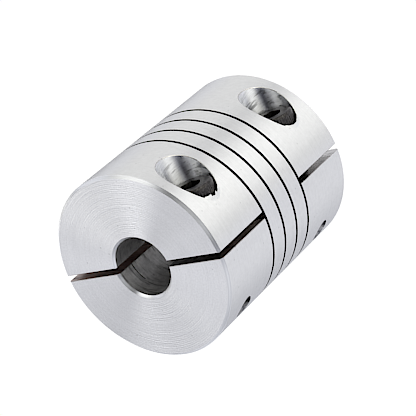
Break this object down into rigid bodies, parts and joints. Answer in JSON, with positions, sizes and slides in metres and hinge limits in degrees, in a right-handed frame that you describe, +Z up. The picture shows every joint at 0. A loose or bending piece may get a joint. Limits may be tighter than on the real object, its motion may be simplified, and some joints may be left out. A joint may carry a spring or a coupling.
{
  "type": "shaft coupling",
  "caption": "Cylindrical aluminium shaft coupling with a helical flexure cut between slit clamping hubs, each closed on its shaft by a socket head cross screw.",
  "frame": {"origin": "centre of the lower end face, on the shaft axis", "axes": "+Z up along the shaft axis; +X towards the open side of the clamp slits; +Y the side that the screw heads face"},
  "size_m": [0.025, 0.025, 0.03],
  "materials": {
    "turned_aluminium": "fine turned, satin",
    "blackened_steel": "black oxide"
  },
  "bodies": {
    "root": {"coupling_body": "turned_aluminium", "upper_clamp_screw": "blackened_steel", "lower_clamp_screw": "blackened_steel"}
  },
  "joints": []
}
